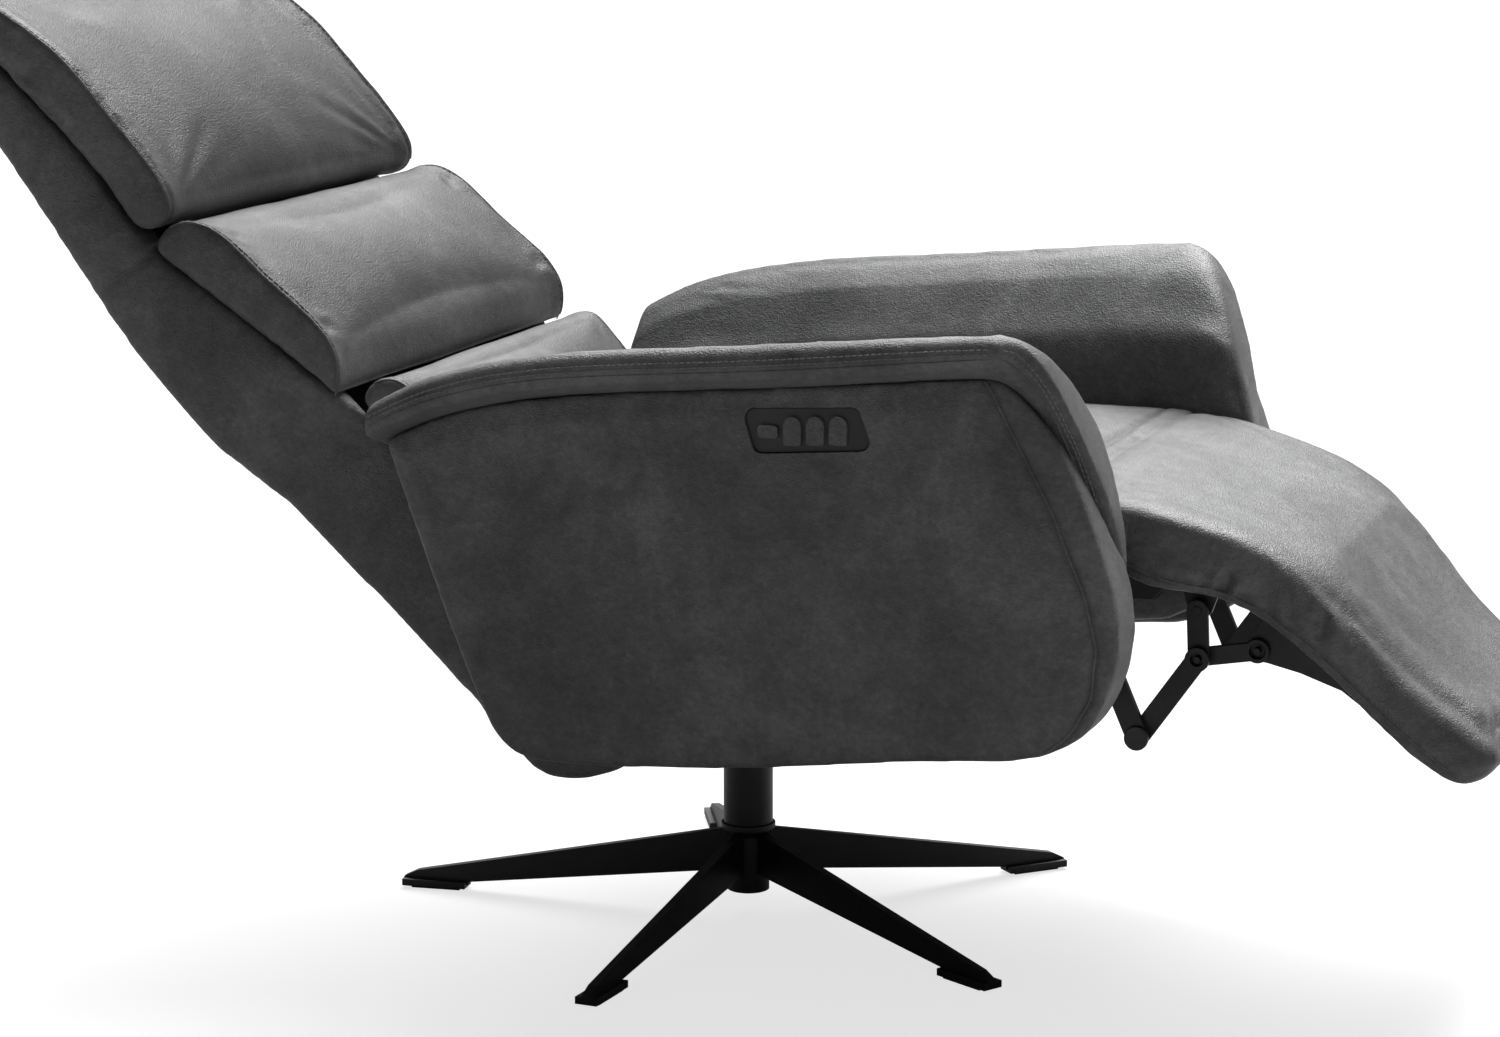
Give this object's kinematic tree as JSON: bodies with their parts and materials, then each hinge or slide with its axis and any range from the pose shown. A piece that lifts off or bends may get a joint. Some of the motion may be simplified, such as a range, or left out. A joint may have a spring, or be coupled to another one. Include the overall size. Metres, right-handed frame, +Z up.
{
  "type": "recliner armchair",
  "caption": "Leather recliner armchair with power back, tilting headrest and folding leg rest, padded arms with a control panel, on a swivelling steel star base.",
  "frame": {"origin": "on the floor under the swivel axis of the star base", "axes": "+X to the sitter's front, +Y to the sitter's left, +Z up"},
  "size_m": [1.5042, 0.722, 0.903],
  "materials": {
    "cover": "matt nubuck with light mottling and dark stitched seams",
    "black_steel": "satin black powder coat",
    "bright_steel": "zinc plated",
    "plywood": "raw birch plywood",
    "black_plastic": "fine texture",
    "motor_rod": "satin",
    "bronze_bush": "turned",
    "webbing": "woven elastic webbing"
  },
  "bodies": {
    "base": {"base_hub": "black_steel", "base_leg_1": "black_steel", "base_leg_2": "black_steel", "base_leg_3": "black_steel", "base_leg_4": "black_steel", "base_leg_5": "black_steel", "floor_glides": "black_plastic", "post_tube": "black_steel", "swivel_spindle": "bright_steel", "spindle_washers": "black_plastic"},
    "carriage": {"swivel_bush": "bronze_bush", "swivel_plate": "black_steel", "swivel_bolts": "bright_steel", "cross_beams": "black_steel", "side_rails": "black_steel", "seat_battens": "plywood", "seat_webbing": "webbing", "seat_cushion": "cover", "front_brackets": "black_steel", "pivot_brackets": "black_steel", "pivot_pins": "bright_steel", "control_box": "black_plastic", "arm_body_left": "cover", "arm_body_right": "cover", "arm_pad_left": "cover", "arm_pad_right": "cover", "arm_cores": "plywood", "arm_bolts": "bright_steel", "control_panel": "black_plastic", "switch_housing": "black_plastic"},
    "backrest": {"back_shell": "cover", "back_plates": "black_steel", "back_cross_tubes": "black_steel", "headrest_tube": "bright_steel", "headrest_motor": "black_plastic", "lumbar_cushion": "cover", "middle_cushion": "cover"},
    "headrest": {"head_cushion": "cover", "headrest_board": "plywood", "headrest_knuckles": "black_steel"},
    "calf_rest": {"calf_pad": "cover", "calf_board": "plywood", "calf_brackets": "black_steel"},
    "foot_rest": {"foot_pad": "cover", "foot_board": "plywood", "foot_brackets": "black_steel"},
    "lower_linkage": {"torque_shaft": "black_steel", "lower_links": "black_steel", "knee_rivets": "bright_steel"},
    "knee_linkage": {"knee_links": "black_steel"},
    "strut_linkage": {"strut_links": "black_steel"},
    "short_linkage": {"short_links": "black_steel"},
    "leg_motor": {"leg_motor_body": "black_plastic"},
    "leg_motor_slider": {"leg_motor_rod": "motor_rod"},
    "back_motor": {"back_motor_body": "black_plastic"},
    "back_motor_slider": {"back_motor_rod": "motor_rod"},
    "rocker_front": {"rocker_3": "black_plastic"},
    "rocker_middle": {"rocker_2": "black_plastic"},
    "rocker_rear": {"rocker_1": "black_plastic"},
    "power_button": {"power_key": "black_plastic"}
  },
  "joints": [
    {"name": "base_swivel", "type": "hinge", "parent": "base", "child": "carriage", "pos_m": [0, 0, 0.215], "axis": [0, 0, 1], "continuous": true},
    {"name": "back_recline", "type": "hinge", "parent": "carriage", "child": "backrest", "pos_m": [-0.17, 0, 0.37], "axis": [0, 1, 0], "range_deg": [0, 28]},
    {"name": "headrest_tilt", "type": "hinge", "parent": "backrest", "child": "headrest", "pos_m": [-0.493, 0, 0.7], "axis": [0, 1, 0], "range_deg": [0, 35]},
    {"name": "footrest_fold", "type": "hinge", "parent": "carriage", "child": "calf_rest", "pos_m": [0.388, 0, 0.408], "axis": [0, 1, 0], "range_deg": [0, 78]},
    {"name": "foot_fold", "type": "hinge", "parent": "calf_rest", "child": "foot_rest", "pos_m": [0.545, 0, 0.372], "axis": [0, 1, 0], "range_deg": [0, 54]},
    {"name": "lower_link_swing", "type": "hinge", "parent": "carriage", "child": "lower_linkage", "pos_m": [0.372, 0, 0.397], "axis": [0, 1, 0], "range_deg": [0, 81.43]},
    {"name": "knee_link_swing", "type": "hinge", "parent": "lower_linkage", "child": "knee_linkage", "pos_m": [0.435, 0, 0.252], "axis": [0, 1, 0], "range_deg": [-28.25, 0]},
    {"name": "strut_swing", "type": "hinge", "parent": "calf_rest", "child": "strut_linkage", "pos_m": [0.484, 0, 0.368], "axis": [0, 1, 0], "range_deg": [0, 28.41]},
    {"name": "short_link_swing", "type": "hinge", "parent": "strut_linkage", "child": "short_linkage", "pos_m": [0.486, 0, 0.325], "axis": [0, 1, 0], "range_deg": [-49.71, 0]},
    {"name": "leg_motor_tilt", "type": "hinge", "parent": "carriage", "child": "leg_motor", "pos_m": [-0.075, 0, 0.304], "axis": [0, 1, 0], "range_deg": [-1.09, 0]},
    {"name": "leg_motor_stroke", "type": "slide", "parent": "leg_motor", "child": "leg_motor_slider", "axis": [0.9935, 0, 0.1141], "range_m": [-0.0641, 0]},
    {"name": "back_motor_tilt", "type": "hinge", "parent": "carriage", "child": "back_motor", "pos_m": [0.075, 0, 0.306], "axis": [0, 1, 0], "range_deg": [0, 1.68]},
    {"name": "back_motor_stroke", "type": "slide", "parent": "back_motor", "child": "back_motor_slider", "axis": [-0.9997, 0, -0.0247], "range_m": [0, 0.0331]},
    {"name": "rocker_rear_press", "type": "hinge", "parent": "carriage", "child": "rocker_rear", "pos_m": [0.16, -0.331, 0.535], "axis": [1, 0, 0], "range_deg": [-5, 5], "stiffness_Nm_per_rad": 0.05},
    {"name": "rocker_middle_press", "type": "hinge", "parent": "carriage", "child": "rocker_middle", "pos_m": [0.1805, -0.331, 0.5362], "axis": [1, 0, 0], "range_deg": [-5, 5], "stiffness_Nm_per_rad": 0.05},
    {"name": "rocker_front_press", "type": "hinge", "parent": "carriage", "child": "rocker_front", "pos_m": [0.201, -0.331, 0.5374], "axis": [1, 0, 0], "range_deg": [-5, 5], "stiffness_Nm_per_rad": 0.05},
    {"name": "power_press", "type": "slide", "parent": "carriage", "child": "power_button", "axis": [0, 1, 0], "range_m": [0, 0.0015], "stiffness_N_per_m": 400}
  ],
  "couplings": [
    {"joint": "foot_fold", "follows": "footrest_fold", "ratio": 0.69231},
    {"joint": "lower_link_swing", "follows": "footrest_fold", "ratio": 1.0439},
    {"joint": "knee_link_swing", "follows": "footrest_fold", "ratio": -0.3621},
    {"joint": "strut_swing", "follows": "footrest_fold", "ratio": 0.3641},
    {"joint": "short_link_swing", "follows": "footrest_fold", "ratio": -0.6372},
    {"joint": "leg_motor_tilt", "follows": "footrest_fold", "ratio": -0.0138},
    {"joint": "leg_motor_stroke", "follows": "footrest_fold", "m_per_rad": -0.047029},
    {"joint": "back_motor_tilt", "follows": "back_recline", "ratio": 0.05981},
    {"joint": "back_motor_stroke", "follows": "back_recline", "m_per_rad": 0.06758}
  ]
}
